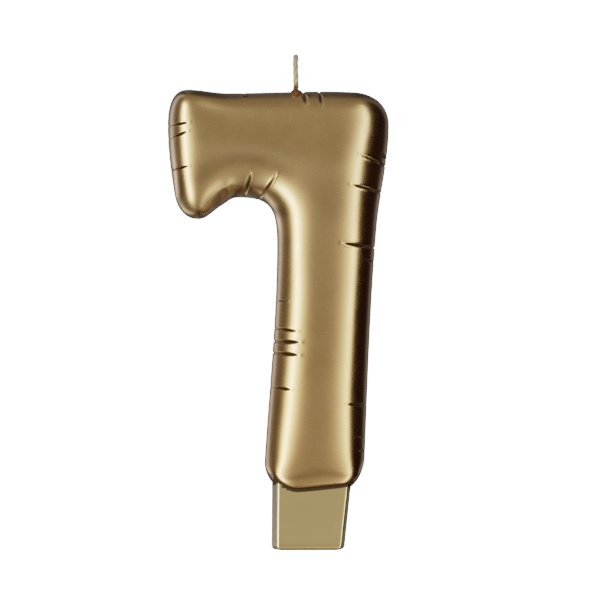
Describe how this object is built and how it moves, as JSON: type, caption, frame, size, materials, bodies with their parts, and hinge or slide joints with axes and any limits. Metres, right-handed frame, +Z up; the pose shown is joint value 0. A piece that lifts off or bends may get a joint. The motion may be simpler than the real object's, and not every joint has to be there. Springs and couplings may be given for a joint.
{
  "type": "number candle",
  "caption": "Numeral seven candle shaped like an inflated foil balloon, standing on a short tapered foot with a wick at its top.",
  "frame": {"origin": "centre of the foot's flat base", "axes": "+Z up through the stem towards the wick, -Y towards the numeral's front, +X to the right seen from the front"},
  "size_m": [0.0628, 0.0244, 0.1403],
  "materials": {
    "gold_lacquer": "satin metallic gold lacquer over wax",
    "waxed_cotton": "matte waxed cotton",
    "amber_wax": "satin copper-brown wax"
  },
  "bodies": {
    "root": {"figure": "gold_lacquer", "foot": "gold_lacquer", "wick": "waxed_cotton", "wick_collar": "amber_wax"}
  },
  "joints": []
}
